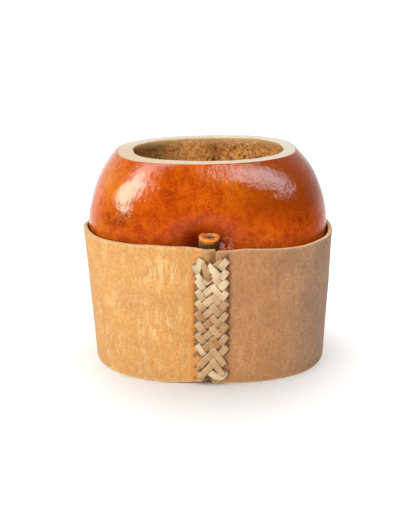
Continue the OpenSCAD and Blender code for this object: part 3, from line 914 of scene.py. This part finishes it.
def loose_path(corners):
    """Smooth path through a loose lace's corners, which dives at both ends."""
    corners = np.array(corners) * MM
    s = np.linspace(0, len(corners) - 1, 12 * len(corners))
    path = [smoothed(np.interp(s, np.arange(len(corners)), corners[:, k]), 4) for k in range(3)]
    return (*path, hill(s, 0.3) + hill(s - s[-1], 0.3))


def toned_strip(path, width, tone):
    """One lace with two numbers for each point: its tone, which turns to cream near the top, and its
    painted shade, at its ends, down its sides and where it passes under another."""
    across, height, lift, dive = path
    points, uv = lace_strip(across, height, lift, width)
    sides = points.shape[1]
    tall = np.sin(np.linspace(0, 2 * math.pi, sides, endpoint=False))[None, :]
    # painted shade on the lace's lower side and where it passes under another
    low = 0.8 * ease(-tall, -0.2, 0.4) + 0.75 * ease(-lift, -0.95 * MM, -0.6 * MM)[:, None]
    cream = np.clip(tone + 0.62 * ease(height, 30 * MM, 43 * MM), 0, 1)
    dark = max(0.0, -0.62 - tone)
    return points, uv, np.outer(cream, np.ones(sides)), np.clip(0.5 * dive[:, None] + low + dark, 0, 1)


def all_strips():
    """Laces that fall to the right from the left slits and laces that fall to the left from the
    right slits, each over one column and under the next, and the loose ends."""
    rng = np.random.default_rng(12)
    strips = []
    for k in range(9):
        start = 0 if k > 2 else 1.75
        for edges, from_right, first in ((falling_edges(k), False, start), (rising_edges(k), True, 0)):
            width = LACE_W * (1 + rng.normal(0, 0.04))
            path = woven_path(first, 4, edges + rng.normal(0, 0.12 * MM), from_right, k > 6)
            strips.append(toned_strip(path, width, rng.uniform(0.0, 0.45)))
    strips.append(toned_strip(woven_path(0, 2.2, falling_edges(9), False, False), LACE_W * 0.9, 0.95))
    for width, tone, corners in LOOSE_ENDS:
        strips.append(toned_strip(loose_path(corners), width * MM, tone))
    return strips


def make_lacing(material):
    """Herringbone lacing: every lace is a closed tube of its own, all in one mesh."""
    strips = all_strips()
    faces, ends, count = [], [], 0
    for points, *_ in strips:
        rows, cols = points.shape[:2]
        faces.append(grid_faces(rows, cols, False, True) + count)
        ends.append(np.arange(cols)[None, ::-1] + count)
        ends.append(np.arange(cols)[None, :] + count + (rows - 1) * cols)
        count += rows * cols
    points = np.concatenate([strip[0].reshape(-1, 3) for strip in strips])
    uvs = np.concatenate([strip[1].reshape(-1, 2) for strip in strips])
    fields = {"tone": np.concatenate([strip[2].ravel() for strip in strips]),
              # painted shade of each lace
              "painted_lace_shade": np.concatenate([strip[3].ravel() for strip in strips]),
              # painted highlight along each lace's edges
              "edge": ease(np.abs(uvs[:, 1] - 0.5), 0.41, 0.5)}
    faces = [np.concatenate(faces), np.concatenate(ends)]
    return put_mesh("rawhide_lacing", points, faces, [material], None, fields, uvs)


# ------------------------------------------------------------------ stage, lights and camera

def soft_light(name, azimuth, elevation, distance, size, radiance, colour=(1, 1, 1),
               window=False, roll=0, only=None):
    """Rectangular lamp that faces the cup from an azimuth, right of the camera's side, and an
    elevation. Its power is pi times its area times its radiance. A window shows only as a
    highlight, another lamp only lights, and where only is given, just those objects."""
    lamp = bpy.data.lights.new(name, "AREA")
    lamp.shape = "RECTANGLE"
    lamp.size, lamp.size_y = size
    lamp.energy = math.pi * size[0] * size[1] * radiance
    lamp.color = colour
    made = bpy.data.objects.new(name, lamp)
    az, el = math.radians(azimuth), math.radians(elevation)
    made.location = (distance * math.sin(az) * math.cos(el), -distance * math.cos(az) * math.cos(el),
                     0.06 + distance * math.sin(el))
    turn = Matrix.Rotation(math.radians(roll), 3, "Z")
    made.rotation_euler = (Euler((math.pi / 2 - el, 0, az)).to_matrix() @ turn).to_euler()
    made.visible_diffuse = not window
    made.visible_glossy = window
    made.visible_camera = False
    bpy.context.collection.objects.link(made)
    if only:
        lit = bpy.data.collections.new("lit by " + name)
        for thing in only:
            lit.objects.link(thing)
        made.light_linking.receiver_collection = lit
    return made


def make_lights(cup, gourd, floor):
    """Lamps that shape the cup, lamps over the floor, a small one in the cup for its inside wall,
    and windows for the highlights in the lacquer."""
    warm = (1.0, 0.97, 0.93)
    soft_light("key", -58, 34, 0.9, (0.5, 0.45), 1.6, warm)
    soft_light("front", -26, 22, 1.0, (0.6, 0.6), 9.3, warm, only=cup)
    soft_light("right fill", 70, 26, 1.0, (0.5, 0.5), 2.8, only=cup)
    wide = (2.6, 2.6)
    top = soft_light("top", 0, 90, 1.1, wide, 0.9)
    over_floor = soft_light("over the floor", 0, 90, 1.1, wide, 4.2, only=(floor,))
    top.location.y = over_floor.location.y = 0.5
    within = soft_light("in the cup", -10, -38, 0.02, (0.034, 0.026), 3.2, (1.0, 0.92, 0.8),
                        only=(gourd,))
    within.location = (-0.006, -0.010, 0.048)
    soft_light("left window", -58, 25, 0.8, (0.36, 0.56), 24, (0.66, 1.0, 0.84),
               window=True, roll=-28)
    soft_light("left upper window", -54, 56, 0.8, (0.26, 0.5), 10, (0.7, 0.9, 1.0),
               window=True, roll=-20)
    soft_light("right window", 52.5, 49, 0.8, (0.26, 0.58), 12, (0.78, 0.95, 1.0),
               window=True, roll=44)


def make_stage():
    """Pale round floor, wider than the view and no wider than the lamps over it light evenly."""
    radius, corners = 2.0, 64
    material, tree, at = new_material("pale floor")
    tone = mottled(tree, at, (0.93, 0.93, 0.93), 3.0, 40.0, 0.002, 0.002)["Colour"]
    finish(material, {"Roughness": 0.9, "IOR": 1.2}, Base_Color=tone)
    ang = np.linspace(0, 2 * math.pi, corners, endpoint=False)
    ring = radius * np.stack([np.cos(ang), np.sin(ang), 0 * ang], -1)
    floor = put_mesh("floor", ring, [np.arange(corners)[None, :]], [material])
    floor.visible_glossy = False
    return floor


def make_world():
    """Surroundings: dim where the camera stands, bright behind and round the cup, and plain white
    wherever the camera sees them."""
    world = bpy.data.worlds.new("studio")
    bpy.context.scene.world = world
    world.use_nodes = True
    tree = world.node_tree
    back = tree.nodes["Background"]
    direction = node(tree, "TexCoord").outputs["Generated"]
    axes = node(tree, "SeparateXYZ", Vector=direction).outputs
    behind = ramp(tree, axes["Y"], -0.15, 0.55, 0.03, 1.3)
    below = ramp(tree, axes["Z"], 0.0, -0.45, 0.0, 0.7)
    side = ramp(tree, axes["X"], -0.3, 0.8, 1.0, 0.75)
    glow = times(tree, math_node(tree, "MAXIMUM", behind, below), side)
    seen = node(tree, "LightPath").outputs["Is Camera Ray"]
    tree.links.new(math_node(tree, "MAXIMUM", glow, seen), back.inputs["Strength"])
    back.inputs["Color"].default_value = (1, 1, 1, 1)


def make_camera():
    """Camera 21 degrees above the level, 396 mm from the middle of the sleeve's upper half."""
    elevation, distance = math.radians(21), 0.396
    height_px, focal_px, lift_px = 520, 957, 9.6
    camera = bpy.data.cameras.new("camera")
    camera.sensor_width = 36
    camera.lens = camera.sensor_width * focal_px / height_px
    camera.shift_y = -lift_px / height_px
    camera.clip_start = 0.01
    made = bpy.data.objects.new("camera", camera)
    target = np.array([0, SLEEVE_Y, 0.042])
    made.location = target + distance * np.array([0, -math.cos(elevation), math.sin(elevation)])
    made.rotation_euler = (math.pi / 2 - elevation, 0, 0)
    bpy.context.collection.objects.link(made)
    bpy.context.scene.camera = made


gourd = make_gourd([skin_material(), rim_material(), fibre_material()])
stub = make_stub(stub_material())
sleeve = make_sleeve([leather_material(), leather_edge_material()])
lacing = make_lacing(rawhide_material())
for piece, cad_node, slot in ((gourd, "gourd", "gourd"), (stub, "gourd", "gourd"),
                              (sleeve, "sleeve", "leather"), (lacing, "lacing", "rawhide")):
    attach(piece, "root")
    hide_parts(cad_node)

floor = make_stage()
make_world()
make_lights((gourd, stub, sleeve, lacing), gourd, floor)
make_camera()
bpy.context.scene.view_settings.view_transform = "Standard"
